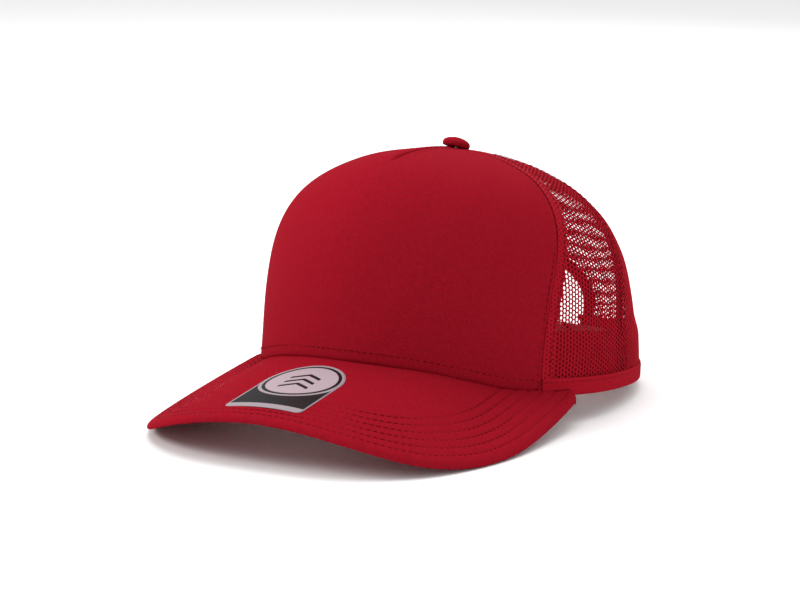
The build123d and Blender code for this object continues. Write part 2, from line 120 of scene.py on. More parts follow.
def crown(turn, level):
    """Points of the crown's outer face: turn from the front, level 0 at the hem to 1."""
    turn, level = np.broadcast_arrays(np.asarray(turn, float), np.asarray(level, float))
    ahead = np.cos(turn) > 0
    length = np.where(
        ahead,
        FRONT_LENGTH * remaining(level, *FRONT_PROFILE),
        BACK_LENGTH * remaining(level, *BACK_PROFILE),
    )
    full = np.where(ahead, FRONT_FULLNESS, BACK_FULLNESS)
    s, c = np.abs(np.sin(turn)), np.abs(np.cos(turn))
    reach = (s**full + c**full) ** (-1 / full)
    x = HALF_WIDTH * remaining(level, *SIDE_PROFILE) * reach * np.sin(turn)
    y = APEX_SHIFT * np.sqrt(level) - length * reach * np.cos(turn)
    behind = smooth((1 - np.cos(turn) - 0.5) / 0.5)
    swell = 1 + BAND_SWELL * behind * smooth((SWELL_TOP - HEIGHT * level) / SWELL_FADE)
    return np.stack((x * swell, y * swell, HEIGHT * level), -1)


def unit(vectors):
    return vectors / np.maximum(np.linalg.norm(vectors, axis=-1, keepdims=True), 1e-12)


def crown_normal(turn, level):
    """Outward normals of the crown."""
    turn, level = np.broadcast_arrays(np.asarray(turn, float), np.asarray(level, float))
    level = np.clip(level, 1e-4, 0.9999)
    step = 0.05 * np.minimum(1 - level, level)
    along = crown(turn + 1e-3, level) - crown(turn - 1e-3, level)
    up = crown(turn, level + step) - crown(turn, level - step)
    return unit(np.cross(along, up))


def crown_at(turn, level, depth=0.0):
    """Points at a depth under the crown's outer face."""
    return crown(turn, level) - crown_normal(turn, level) * np.asarray(depth, float)[..., None]


def solve(test, low, high, like):
    """Where test rises through zero between low and high, for arrays shaped as like."""
    low, high = np.full(np.shape(like), float(low)), np.full(np.shape(like), float(high))
    for _ in range(42):
        middle = (low + high) / 2
        above = test(middle) > 0
        high = np.where(above, middle, high)
        low = np.where(above, low, middle)
    return (low + high) / 2


def seam_y(level):
    fall = SEAM_FOOT * (1 - level) ** SEAM_BEND
    return fall + SEAM_BOW * 4 * level * (1 - level) + APEX_SHIFT * np.sqrt(level)


def front_seam_turn(level, shift=0.0):
    """Turn of the front seam on the wearer's left, moved back by shift."""
    return solve(
        lambda turn: crown(turn, level)[..., 1] - seam_y(level) - shift, 0, math.pi, level
    )


def strip_turn(level, bearing, across=0.0, reach=0.9):
    """Turn of a line beside the straight seam on one bearing from the button."""
    def offset(turn):
        x, y, _ = np.moveaxis(crown(turn, level), -1, 0)
        return x * math.cos(bearing) + (y - APEX_SHIFT) * math.sin(bearing) - across

    return solve(offset, bearing - reach, bearing + reach, level)


def opening_outline(share, growth):
    """x and z of the rear opening's edge, grown by growth: share 0 left foot to 1 right foot."""
    half, foot, rise = OPENING_HALF + growth, OPENING_FOOT + growth, OPENING_RISE + growth
    flank = OPENING_CENTRE - OPENING_KNEE
    arc = math.pi * math.sqrt((OPENING_HALF**2 + OPENING_RISE**2) / 2)
    run = (0.5 - np.abs(np.asarray(share, float) - 0.5)) * (2 * OPENING_CENTRE + arc)
    turn = math.pi * np.clip((run - OPENING_CENTRE) / arc, 0, 1)
    above = run > OPENING_CENTRE
    x = np.where(above, half * np.cos(turn), foot + (half - foot) * smooth((run - OPENING_KNEE) / flank))
    z = np.where(above, OPENING_CENTRE + rise * np.sin(turn), run)
    return np.where(np.asarray(share) > 0.5, -x, x), z


def back_turn(x, level):
    """Turn of the point of the back wall at an x."""
    side = np.abs(x)
    found = solve(
        lambda turn: side - crown(turn, level)[..., 0], math.pi / 2, math.pi, level
    )
    return np.where(x < 0, 2 * math.pi - found, found)


def arch(x, place):
    """Height of the brim's upper face on one end section of its plate."""
    wide = np.minimum(np.abs(x), PLATE_HALF)
    ahead = -FRONT_LENGTH - place
    radius = BRIM_RADIUS + BRIM_RADIUS_CHANGE * ahead
    centre = BRIM_CREST - ahead * math.tan(math.radians(BRIM_SLOPE)) - radius
    flare = FLARE_HEIGHT if place == PLATE_BACK else 0
    beyond = np.maximum(wide - FLARE_START, 0) / (PLATE_HALF - FLARE_START)
    return centre + np.sqrt(radius**2 - wide**2) + flare * beyond**2


def brim_z(x, y):
    """Height of the brim's upper face."""
    share = (np.asarray(y, float) - PLATE_FRONT) / (PLATE_BACK - PLATE_FRONT)
    return arch(x, PLATE_FRONT) * (1 - share) + arch(x, PLATE_BACK) * share


def brim_at(x, y, depth):
    """Points straight under or over a plan place, at a depth from the brim's upper face."""
    return np.stack(np.broadcast_arrays(x, y, brim_z(x, y) - depth), -1)


def brim_normal(x, y):
    step = 0.5
    slope_x = (brim_z(x + step, y) - brim_z(x - step, y)) / (2 * step)
    slope_y = (brim_z(x, y + step) - brim_z(x, y - step)) / (2 * step)
    return unit(np.stack((-slope_x, -slope_y, np.ones_like(slope_x)), -1))


def brim_plan(turn, extra, inset):
    """Plan of a line inset from the brim's rim: turn 0 at the tip, +-90 degrees where it is
    widest, and from there extra runs from 0 to 1 at its back corners."""
    s, c = np.sin(np.abs(turn)), np.maximum(np.cos(turn), 0)
    corner = np.clip(BRIM_CORNER - inset, 0, BRIM_CORNER)
    back = BRIM_BACK - BRIM_CORNER + np.sqrt(BRIM_CORNER**2 - corner**2)
    y = BRIM_WIDEST - (BRIM_REACH - inset) * c ** (2 / BRIM_FRONT_CURVE) + extra * (back - BRIM_WIDEST)
    drawn_in = (np.maximum(y - BRIM_WIDEST, 0) / (BRIM_BACK - BRIM_WIDEST)) ** 2
    x = (BRIM_HALF - inset) * s ** (2 / BRIM_SIDE_CURVE) - BRIM_NARROWING * drawn_in
    return np.sign(turn) * x, y


def ripple(points, size):
    """A soft unevenness of hand-sewn cloth, as a distance along the normal."""
    x, y, z = np.moveaxis(np.asarray(points, float), -1, 0)
    wave = np.sin(x * 0.093 + 1.3 * np.sin(z * 0.061)) + np.sin(y * 0.081 + z * 0.047 + 2.0)
    return size * (wave + 0.6 * np.sin(x * 0.21 - z * 0.17 + y * 0.13)) / 2.6


# ---- meshes

def make_object(name, points, faces, material, uv=None):
    """A mesh object from points, quads and one uv for each point, with doubles merged."""
    mesh = bpy.data.meshes.new(name)
    points, faces = np.asarray(points, float).reshape(-1, 3), np.asarray(faces, np.int64)
    mesh.vertices.add(len(points))
    mesh.vertices.foreach_set("co", to_row(points).astype(np.float32).ravel())
    mesh.loops.add(faces.size)
    mesh.loops.foreach_set("vertex_index", faces.ravel())
    mesh.polygons.add(len(faces))
    mesh.polygons.foreach_set("loop_start", np.arange(len(faces)) * faces.shape[1])
    mesh.update(calc_edges=True)
    if uv is not None:
        layer = mesh.uv_layers.new(name="weave")
        layer.data.foreach_set("uv", np.asarray(uv, np.float32)[faces.ravel()].ravel())
    welded = bmesh.new()
    welded.from_mesh(mesh)
    bmesh.ops.remove_doubles(welded, verts=welded.verts, dist=2e-6)
    bmesh.ops.dissolve_degenerate(welded, edges=welded.edges, dist=1e-6)
    loose = [v for v in welded.verts if not v.link_faces]
    bmesh.ops.delete(welded, geom=loose, context="VERTS")
    welded.to_mesh(mesh)
    welded.free()
    mesh.validate()
    mesh.polygons.foreach_set("use_smooth", np.full(len(mesh.polygons), True))
    made = bpy.data.objects.new(name, mesh)
    bpy.context.scene.collection.objects.link(made)
    made.data.materials.append(material)
    return made


def grid_faces(rows, columns, start=0, flip=False, wrap=False):
    """Quads of a grid of points; wrap joins the last column to the first."""
    across = np.arange(columns if wrap else columns - 1)
    i, j = np.meshgrid(np.arange(rows - 1) * columns, across, indexing="ij")
    after = (j + 1) % columns
    quads = np.stack((i + j, i + after, i + columns + after, i + columns + j), -1)
    quads = quads.reshape(-1, 4) + start
    return quads[:, ::-1] if flip else quads


def cloth(name, outer, inner, uv, material, flip=False):
    """A closed sheet between two grids of points."""
    rows, columns = outer.shape[:2]
    count = rows * columns
    ring = np.concatenate((
        np.arange(columns - 1),
        np.arange(columns - 1, count - 1, columns),
        np.arange(count - 1, count - columns, -1),
        np.arange(count - columns, 0, -columns),
    ))
    following = np.roll(ring, -1)
    edge = np.stack((ring, ring + count, following + count, following), -1)
    faces = np.concatenate((
        grid_faces(rows, columns, 0, flip),
        grid_faces(rows, columns, count, not flip),
        edge[:, ::-1] if flip else edge,
    ))
    points = np.concatenate((outer.reshape(-1, 3), inner.reshape(-1, 3)))
    flat = np.asarray(uv, float).reshape(-1, 2)
    return make_object(name, points, faces, material, np.concatenate((flat, flat)))


def lengths(points, axis):
    """Distances run along one axis of a grid of points."""
    steps = np.linalg.norm(np.diff(points, axis=axis), axis=-1)
    start = np.zeros_like(np.take(steps, [0], axis=axis))
    return np.concatenate((start, np.cumsum(steps, axis=axis)), axis=axis)


def mirrored(points, side):
    return points * np.array((side, 1, 1))


def layer(name, turn, level, depth, material, side=1, bulge=0.0):
    """A closed sheet between two depths of the crown, over a grid of turns and levels."""
    face, normal = crown(turn, level), crown_normal(turn, level)
    across = lengths(face, 1)
    uv = np.stack((across - across.mean(1, keepdims=True), HEIGHT * level), -1)
    outer = face - normal * (np.asarray(depth[0]) + bulge)[..., None]
    inner = face - normal * np.broadcast_to(depth[1], level.shape)[..., None]
    return cloth(name, mirrored(outer, side), mirrored(inner, side), uv, material, side < 0)


# A stitch: its length, the gap to the next, how deep its ends sink, and its thickness on its way
STITCH, STITCH_GAP, STITCH_SINK = 2.3, 0.8, 0.12
THREAD_SIDES = 6
THREAD_TAPER = np.array((0.45, 0.9, 1.0, 0.9, 0.45))


def stitches(name, rows, material, radius=0.17):
    """Rows of thread: each row is (points, normals), and each stitch a bowed capsule."""
    points, faces, count = [], [], 0
    stations = len(THREAD_TAPER)
    share = np.linspace(0, 1, stations)
    for path, normal in rows:
        run = lengths(path, 0)
        total = int(run[-1] // (STITCH + STITCH_GAP))
        if total < 1:
            continue
        begin = (np.arange(total) * (STITCH + STITCH_GAP) + STITCH_GAP / 2)[:, None]
        at = (begin + STITCH * share).ravel()

        def along(line, shift=0.0):
            return np.stack([np.interp(at + shift, run, line[:, k]) for k in range(3)], -1)

        up = unit(along(normal))
        side = unit(np.cross(along(path, 0.05) - along(path, -0.05), up))
        bow = np.tile(np.sin(math.pi * share), total)
        thick = radius * np.tile(THREAD_TAPER, total)
        middle = along(path) + up * (radius * 0.55 * bow - STITCH_SINK * (1 - bow))[:, None]
        for k in range(THREAD_SIDES):
            a = 2 * math.pi * k / THREAD_SIDES
            points.append(middle + (side * math.cos(a) + up * math.sin(a)) * thick[:, None])
        ring = total * stations
        block = np.arange(ring).reshape(total, stations)
        a, b = block[:, :-1].ravel(), block[:, 1:].ravel()
        for k in range(THREAD_SIDES):
            here, after = k * ring + count, (k + 1) % THREAD_SIDES * ring + count
            faces.append(np.stack((a + here, b + here, b + after, a + after), -1))
        for end, turned in ((0, 1), (stations - 1, -1)):
            for quad in ((0, 1, 2, 3), (0, 3, 4, 5)):
                faces.append(np.stack([block[:, end] + k * ring for k in quad[::turned]], -1) + count)
        count += ring * THREAD_SIDES
    return make_object(name, np.concatenate(points), np.concatenate(faces), material)


# ---- materials

def linear(red, green, blue):
    """A linear colour from an 8-bit sRGB one."""
    def one(value):
        value /= 255
        return value / 12.92 if value <= 0.04045 else ((value + 0.055) / 1.055) ** 2.4
    return (one(red), one(green), one(blue), 1.0)


class Shader:
    """A material's node tree, with short calls to add and join nodes."""

    def __init__(self, name, **values):
        self.material = bpy.data.materials.new(name)
        self.material.use_nodes = True
        self.tree = self.material.node_tree
        self.bsdf = self.tree.nodes["Principled BSDF"]
        for key, value in values.items():
            self.bsdf.inputs[key.replace("_", " ").title().replace("Ior", "IOR")].default_value = value

    def add(self, kind, *inputs, **settings):
        made = self.tree.nodes.new("ShaderNode" + kind)
        for key, value in settings.items():
            setattr(made, key, value)
        for index, value in enumerate(inputs):
            self.join(made.inputs[index], value)
        return made

    def join(self, socket, value):
        """Feed a socket from another socket, or with a constant."""
        if isinstance(value, bpy.types.NodeSocket):
            self.tree.links.new(value, socket)
        else:
            socket.default_value = value

    def math(self, operation, *inputs):
        return self.add("Math", *inputs, operation=operation).outputs[0]

    def wave(self, vector, direction, phase=0.0):
        """0 to 1 wave over a vector, with direction in cycles per unit."""
        along = self.add("VectorMath", vector, direction, operation="DOT_PRODUCT").outputs["Value"]
        turn = self.math("MULTIPLY_ADD", along, 2 * math.pi, phase)
        return self.math("MULTIPLY_ADD", self.math("SINE", turn), 0.5, 0.5)

    def noise(self, vector, scale, detail=3.0):
        made = self.add("TexNoise", noise_dimensions="3D")
        self.tree.links.new(vector, made.inputs["Vector"])
        made.inputs["Scale"].default_value = scale
        made.inputs["Detail"].default_value = detail
        return made.outputs["Fac"]

    def mix(self, share, a, b):
        """A colour mix; a Mix node's colour sockets are numbers 6 and 7, and its result number 2."""
        made = self.add("Mix", data_type="RGBA")
        for index, value in ((0, share), (6, a), (7, b)):
            self.join(made.inputs[index], value)
        return made.outputs[2]

    def colour(self, socket):
        self.tree.links.new(socket, self.bsdf.inputs["Base Color"])

    def bump(self, height, distance, strength=1.0):
        made = self.add("Bump")
        made.inputs["Strength"].default_value = strength
        made.inputs["Distance"].default_value = distance
        self.tree.links.new(height, made.inputs["Height"])
        self.tree.links.new(made.outputs[0], self.bsdf.inputs["Normal"])

    def weave_uv(self):
        return self.add("UVMap", uv_map="weave").outputs[0]

    def place(self):
        return self.add("TexCoord").outputs["Object"]


def twill(name, deep, bright, rib=0.8, bump=0.00016):
    """Cotton twill: diagonal ribs crossed by the yarns, in millimetres of the weave map."""
    shader = Shader(name, roughness=0.9)
    shader.bsdf.inputs["Specular IOR Level"].default_value = 0.01
    weave = shader.weave_uv()
    wobble = shader.noise(weave, 0.35, 2.0)
    ribs = shader.wave(weave, (0.82 / rib, 0.57 / rib, 0), 0.0)
    yarns = shader.wave(weave, (-0.5 / (rib * 0.62), 0.86 / (rib * 0.62), 0), 1.0)
    height = shader.math("ADD", shader.math("MULTIPLY", ribs, 0.7), shader.math("MULTIPLY", yarns, 0.3))
    fuzz = shader.noise(weave, 2.2, 4.0)
    tone = shader.math("ADD", shader.math("MULTIPLY", height, 0.45), shader.math("MULTIPLY", fuzz, 0.35))
    tone = shader.math("ADD", tone, shader.math("MULTIPLY", wobble, 0.3))
    shader.colour(shader.mix(tone, linear(*deep), linear(*bright)))
    rough = shader.math("ADD", height, shader.math("MULTIPLY", fuzz, 0.5))
    shader.bump(rough, bump, 0.8)
    return shader.material


def plain_cloth(name, deep, bright, scale=1.6, bump=0.00006, roughness=0.9):
    """A fine plain weave."""
    shader = Shader(name, roughness=roughness)
    shader.bsdf.inputs["Specular IOR Level"].default_value = 0.01
    weave = shader.weave_uv()
    warp = shader.wave(weave, (scale, 0, 0))
    weft = shader.wave(weave, (0, scale, 0))
    cross = shader.math("ADD", warp, weft)
    fuzz = shader.noise(weave, 1.8, 4.0)
    tone = shader.math("MULTIPLY_ADD", cross, 0.3, shader.math("MULTIPLY", fuzz, 0.4))
    shader.colour(shader.mix(tone, linear(*deep), linear(*bright)))
    shader.bump(shader.math("ADD", cross, fuzz), bump, 0.8)
    return shader.material


def yarn(name, deep, bright, roughness=0.7):
    """Synthetic yarn of the netting or thread."""
    shader = Shader(name, roughness=roughness)
    shader.bsdf.inputs["Specular IOR Level"].default_value = 0.02
    place = shader.place()
    fine = shader.noise(place, 3500.0, 2.0)
    broad = shader.noise(place, 60.0, 2.0)
    tone = shader.math("MULTIPLY_ADD", fine, 0.6, shader.math("MULTIPLY", broad, 0.4))
    shader.colour(shader.mix(tone, linear(*deep), linear(*bright)))
    shader.bump(fine, 0.00004, 0.5)
    return shader.material


def plastic(name, colour, roughness=0.35, clear=0.0):
    """Moulded plastic with a fine mould grain."""
    shader = Shader(name, roughness=roughness)
    shader.bsdf.inputs["Coat Weight"].default_value = clear
    place = shader.place()
    grain = shader.noise(place, 2600.0, 3.0)
    broad = shader.noise(place, 90.0, 2.0)
    shader.colour(shader.mix(shader.math("MULTIPLY", broad, 0.35), linear(*colour),
                             linear(*[max(0, c * 0.75) for c in colour])))
    shader.bump(grain, 0.00002, 0.4)
    return shader.material


def metal(name):
    shader = Shader(name, metallic=1.0, roughness=0.32)
    place = shader.place()
    tone = shader.noise(place, 900.0, 3.0)
    shader.colour(shader.mix(tone, linear(150, 150, 152), linear(196, 196, 198)))
    shader.bump(tone, 0.00001, 0.3)
    return shader.material


red_twill = twill("red_twill", (107, 11, 22), (166, 22, 39))
brim_twill = twill("brim_twill", (107, 11, 22), (166, 22, 39))
red_netting = yarn("red_netting", (132, 15, 28), (182, 23, 41))
red_thread = yarn("red_thread", (98, 11, 21), (150, 19, 34), 0.6)
# Thread of the crown's seams and the front foot row: darker than the other thread, partly its own colour and
# partly painted shade of the needle holes
seam_thread_painted_shade = yarn("seam_thread_painted_shade", (74, 8, 15), (116, 13, 24), 0.6)
red_tape = plain_cloth("red_tape", (130, 16, 28), (180, 24, 42), 1.5)
# Side seam tapes: a darker red than the other tapes, painted shade for the shadow they lie in behind the
# netting
painted_shade_tape = plain_cloth("painted_shade_tape", (66, 7, 14), (104, 12, 22), 1.5)
# Headband: a lighter red than the twill, partly its own red and partly painted light, lifting it out of the
# shade inside the crown
red_band_painted_light = twill("red_band_painted_light", (140, 16, 30), (204, 30, 50), 0.9)
backing_cloth = plain_cloth("backing_cloth", (176, 172, 166), (222, 218, 212), 0.55, 0.00012)
label_cloth = plain_cloth("label_cloth", (188, 186, 182), (226, 224, 220), 2.2)
strap_plastic = plastic("strap_plastic", (150, 14, 30), 0.38, 0.15)
board_plastic = plastic("board_plastic", (214, 212, 204), 0.5)
core_metal = metal("core_metal")


# ---- crown

def front_columns(count, bend=1.25):
    w = np.linspace(-1, 1, count)
    return np.sign(w) * np.abs(w) ** bend


def front_floor(u, shift=0.0, lift=0.0):
    """Level at which the front of the crown meets the brim, for shares of the way to the seam."""
    level = np.full(np.shape(u), 0.05)
    for _ in range(30):
        seam = front_seam_turn(level, shift)
        x, y, _ = np.moveaxis(crown(u * seam, level), -1, 0)
        level = 0.5 * level + 0.5 * np.clip((brim_z(x, y) + lift) / HEIGHT, 0.0005, 0.5)
    return level


def front_grid(rows, columns, shift=0.0, lift=0.0, top=1.0):
    """Turns and levels over the front of the crown, from the brim to the top."""
    u = front_columns(columns)
    floor = front_floor(u, shift, lift)
    v = 1 - (1 - np.linspace(0, 1, rows)) ** 2.4
    level = floor[None, :] + (top - floor[None, :]) * v[:, None]
    turn = u[None, :] * front_seam_turn(level, shift)
    return turn, level, u


# The front panel's rows and columns of points, and how far it stands over the brim
FRONT_ROWS, FRONT_MIDDLE, FRONT_LIFT = 150, 110, 0.25
# The dart that falls from the top: its length, fade, depth and half width
DART_LENGTH, DART_FADE, DART_DEPTH, DART_HALF = 67.0, 16.0, 2.1, 0.75
CLOTH = 0.72
turn, level, u = front_grid(FRONT_ROWS, 2 * FRONT_MIDDLE + 1, lift=FRONT_LIFT)
face, normal = crown(turn, level), crown_normal(turn, level)
across = lengths(face, 1) - lengths(face, 1)[:, FRONT_MIDDLE:FRONT_MIDDLE + 1]
up = lengths(face, 0)
from_top = up[-1:, :] - up
seam_gap = np.where(u[None, :] > 0, across[:, -1:] - across, across - across[:, :1])
dart = smooth((DART_LENGTH - from_top) / DART_FADE)
groove = DART_DEPTH * bell(across, DART_HALF) - 0.4 * bell(np.abs(across) - 3.0, 2.0)
groove -= 0.5 * bell(across + 5.0, 4.0)
pucker = 0.16 * np.sin(from_top * 1.45 + 0.6 * np.sin(from_top * 0.37)) * bell(across, 4.0)
tuck = 0.6 * (1 - smooth(up / 2.2)) + 0.75 * (1 - smooth(seam_gap / 1.8))
seam_pucker = 0.12 * np.sin(up * 1.9) * bell(seam_gap, 5.0)
depth = dart * (groove + pucker) + tuck + seam_pucker + ripple(face, 0.35)
outer = face - normal * depth[..., None]
inner = face - normal * (np.maximum(depth, 0) + CLOTH)[..., None]
front_uv = np.stack((across, up), -1)
front_panel = cloth("front_panel_cloth", outer, inner, front_uv, red_twill)

# The backing ends inside the seams, and gives way under the dart
BACKING_ROWS, BACKING_MIDDLE, BACKING_INSIDE, BACKING_LIFT = 90, 60, -6.0, 0.6
turn, level, u = front_grid(
    BACKING_ROWS, 2 * BACKING_MIDDLE + 1, shift=BACKING_INSIDE, lift=BACKING_LIFT, top=0.999
)
face = crown(turn, level)
across = lengths(face, 1) - lengths(face, 1)[:, BACKING_MIDDLE:BACKING_MIDDLE + 1]
from_top = lengths(face, 0)[-1:, :] - lengths(face, 0)
give = 2.3 * bell(across, 2.6) * smooth((DART_LENGTH + 4 - from_top) / 12.0)
front_backing = layer(
    "front_backing_cloth", turn, level, (LINING[0] + 0.25 + give, LINING[1] + 0.3 + give), backing_cloth
)

# Netting
COLUMN, ROW = 2.0, 2.1
HOLE_WIDE, HOLE_TALL = 0.58, 0.78
# Half thickness of the strands, and how open the holes are, in the side and back panels
SIDE_STRAND, BACK_STRAND = 0.25, 0.30
SIDE_OPEN, BACK_OPEN = 1.0, 0.86
NET_MIDDLE = 0.40
# Beside the front seam the netting lies double, and its holes are nearly shut
DOUBLE_WIDTH, DOUBLE_HOLE = 5.6, 0.07
TABLE_LEVELS = 1 - (1 - np.linspace(0, 1, 260)) ** 2.6
# How near the netting comes to the rear opening's edge, and how low it ends over the rim
OPENING_CLEAR, NET_FOOT = 1.2, 1.5


class Panel:
    """A netting panel between two seams, laid out flat from a reference bearing."""

    def __init__(self, low, high, reference):
        self.levels = np.minimum(TABLE_LEVELS, 0.9995)
        self.low, self.high = low(self.levels), high(self.levels)
        turns = np.linspace(0.6, 3.3, 700)
        grid = crown(turns[None, :], self.levels[:, None])
        run = lengths(grid, 1)
        origin = np.array([np.interp(reference, turns, row) for row in run])
        self.spread = np.linspace(-80, 80, 601)
        self.turns = np.stack([
            np.interp(self.spread, row - start, turns) for row, start in zip(run, origin)
        ])
        meridian = crown(np.full_like(self.levels, reference), self.levels)
        self.rise = lengths(meridian, 0)

    def place(self, s, h):
        """Turn and level of the flat place (s, h)."""
        row = np.interp(h, self.rise, np.arange(len(self.rise)))
        column = np.clip((s - self.spread[0]) / (self.spread[1] - self.spread[0]), 0, 599.999)
        i = np.minimum(row.astype(int), len(self.rise) - 2)
        j = column.astype(int)
        a, b = row - i, column - j
        t = self.turns
        near, far = t[i, j] * (1 - a) + t[i + 1, j] * a, t[i, j + 1] * (1 - a) + t[i + 1, j + 1] * a
        turn = near * (1 - b) + far * b
        return turn, np.interp(h, self.rise, self.levels)

    def limits(self, level):
        return np.interp(level, self.levels, self.low), np.interp(level, self.levels, self.high)


def opening_growth(x, z):
    """How far outside the rear opening's edge a place of the back wall is, negative inside."""
    rise = np.maximum(z - OPENING_CENTRE, 0)
    arch = np.maximum(np.hypot(x / OPENING_HALF, rise / OPENING_RISE), 1e-6)
    above = (arch - 1) * np.hypot(x, rise) / arch
    wide = smooth((z - OPENING_KNEE) / (OPENING_CENTRE - OPENING_KNEE))
    side = OPENING_FOOT + (OPENING_HALF - OPENING_FOOT) * wide
    return np.where(z > OPENING_CENTRE, above, np.abs(x) - side)


def netting(name, panel, side, floor, with_opening, material, strand, open_share, double=False):
    """Knitted netting: staggered oval holes between strands of lens-shaped section."""
    half_flat = (COLUMN**2 - ROW**2 / 4) / (2 * COLUMN)
    corner = np.array([
        (COLUMN - half_flat, 0), (half_flat, ROW / 2), (-half_flat, ROW / 2),
        (half_flat - COLUMN, 0), (-half_flat, -ROW / 2), (half_flat, -ROW / 2),
    ])
    rim = np.stack((corner, (corner + np.roll(corner, -1, 0)) / 2), 1).reshape(12, 2)
    bearing = np.arctan2(rim[:, 1], rim[:, 0])
    hole = np.stack((HOLE_WIDE * np.cos(bearing), HOLE_TALL * np.sin(bearing)), -1)
    top = panel.rise[-1]
    i, j = np.meshgrid(np.arange(-39, 40), np.arange(0, int(top / ROW) + 1), indexing="ij")
    centre = np.stack((i * COLUMN, (j + 0.5 * (i % 2)) * ROW), -1).reshape(-1, 2)
    turn, level = panel.place(centre[:, 0], centre[:, 1])
    low, high = panel.limits(level)
    reach = np.maximum(np.linalg.norm(crown(turn, level)[:, :2], axis=1), 6)
    margin = 1.2 / reach
    keep = (turn > low - margin) & (turn < high + margin) & (level < 0.9985)
    point = crown(turn, level)
    keep &= point[:, 2] > floor(point) - 1.0
    if with_opening:
        keep &= opening_growth(point[:, 0], point[:, 2]) > 0.6
    centre = centre[keep]
    flat_rim = centre[:, None, :] + rim[None]
    behind = point[keep][:, 1] - seam_y(level[keep])
    single = smooth((behind - DOUBLE_WIDTH) / 0.8 + 0.5) if double else np.ones(len(centre))
    shut = DOUBLE_HOLE + (1 - DOUBLE_HOLE) * single
    flat_hole = centre[:, None, :] + hole[None] * (open_share * shut)[:, None, None]
    keys = np.round(flat_rim.reshape(-1, 2) * 200).astype(np.int64)
    unique, index = np.unique(keys, axis=0, return_inverse=True)
    index = index.reshape(-1, 12)
    flat_unique = unique / 200.0

    def lay(flat, depths):
        turn, level = panel.place(flat[:, 0], flat[:, 1])
        low, high = panel.limits(level)
        turn = np.clip(turn, low, high)
        if with_opening:
            x, _, z = np.moveaxis(crown(turn, level), -1, 0)
            grown = opening_growth(x, z)
            short = grown < OPENING_CLEAR
            push = np.where(short, OPENING_CLEAR - grown, 0)
            above = z > OPENING_CENTRE
            size = np.maximum(np.hypot(x, z - OPENING_CENTRE), 1e-6)
            x = x + np.where(above, push * x / size, push)
            z = z + np.where(above, push * (z - OPENING_CENTRE) / size, 0)
            level = np.where(short, z / HEIGHT, level)
            turn = np.where(short, back_turn(x, level), turn)
        point = crown(turn, level)
        level = np.where(point[:, 2] < floor(point), floor(point) / HEIGHT, level)
        face, normal = crown(turn, level), crown_normal(turn, level)
        soft = ripple(face, 0.3)
        return [face - normal * (soft + d)[:, None] for d in depths]

    crest, under = lay(flat_unique, (NET_MIDDLE - strand, NET_MIDDLE + strand))
    ring, = lay(flat_hole.reshape(-1, 2), (NET_MIDDLE,))
    total = len(flat_unique)
    hole_index = np.arange(len(centre) * 12).reshape(-1, 12) + 2 * total
    after = np.roll(np.arange(12), -1)
    upper = np.stack((index, index[:, after], hole_index[:, after], hole_index), -1).reshape(-1, 4)
    lower = np.stack((index, hole_index, hole_index[:, after], index[:, after]), -1).reshape(-1, 4)
    lower = np.where(lower < 2 * total, lower + total, lower)
    faces = np.concatenate((upper, lower))
    if side < 0:
        faces = faces[:, ::-1]
    points = mirrored(np.concatenate((crest, under, ring)), side)
    flat_all = np.concatenate((flat_unique, flat_unique, flat_hole.reshape(-1, 2)))
    return make_object(name, points, faces, material, flat_all)


def brim_floor(point):
    """Lowest height of the netting: the brim where there is one, and the hem elsewhere."""
    x, y = point[..., 0], point[..., 1]
    return np.where(y < BRIM_BACK, np.maximum(brim_z(x, y), NET_FOOT), NET_FOOT)


side_panel = Panel(
    front_seam_turn, lambda level: strip_turn(level, SIDE_SEAM), math.radians(80)
)
back_panel = Panel(
    lambda level: strip_turn(level, SIDE_SEAM), lambda level: np.full_like(level, math.pi),
    math.radians(139),
)
nets = {}
for word, side in (("left", 1), ("right", -1)):
    nets[f"mesh_side_{word}"] = netting(
        f"mesh_side_{word}_netting", side_panel, side, brim_floor, False, red_netting,
        SIDE_STRAND, SIDE_OPEN, True
    )
    nets[f"mesh_back_{word}"] = netting(
        f"mesh_back_{word}_netting", back_panel, side, brim_floor, True, red_netting,
        BACK_STRAND, BACK_OPEN
    )

# Tapes over the seams, inside the crown
tapes = {}
top_level = {"front": 0.993, "side": 0.975, "back": 0.955}
for word, side in (("left", 1), ("right", -1)):
    shift = np.linspace(-TAPE_HALF, TAPE_HALF, 9)[None, :]
    pillow = 0.25 * (shift / TAPE_HALF) ** 4
    wide = (shift + TAPE_HALF) / (2 * TAPE_HALF) * (TAPE_HALF + FRONT_TAPE_BEHIND) - TAPE_HALF
    level = np.linspace(0.02, top_level["front"], 90)[:, None] + 0 * shift
    turn = front_seam_turn(level, wide)
    tapes[f"seam_tape_front_{word}"] = layer(
        f"seam_tape_front_{word}_cloth", turn, level, (0.60 + 0 * level, LINING[1] - 0.26),
        red_tape, side, bulge=pillow + 0 * level,
    )
    level = np.linspace(0.02, top_level["side"], 90)[:, None] + 0 * shift
    turn = strip_turn(level, SIDE_SEAM, shift)
    tapes[f"seam_tape_side_{word}"] = layer(
        f"seam_tape_side_{word}_cloth", turn, level, (LINING[0] + 0 * level, LINING[1]),
        painted_shade_tape, side, bulge=pillow + 0 * level,
    )
foot = (OPENING_CENTRE + OPENING_RISE + BINDING_WIDTH) / HEIGHT
level = np.linspace(foot, top_level["back"], 60)[:, None] + 0 * shift
turn = back_turn(-shift + 0 * level, level)
tapes["seam_tape_center_back"] = layer(
    "seam_tape_center_back_cloth", turn, level, (LINING[0] + 0 * level, LINING[1]), red_tape,
    bulge=pillow + 0 * level,
)

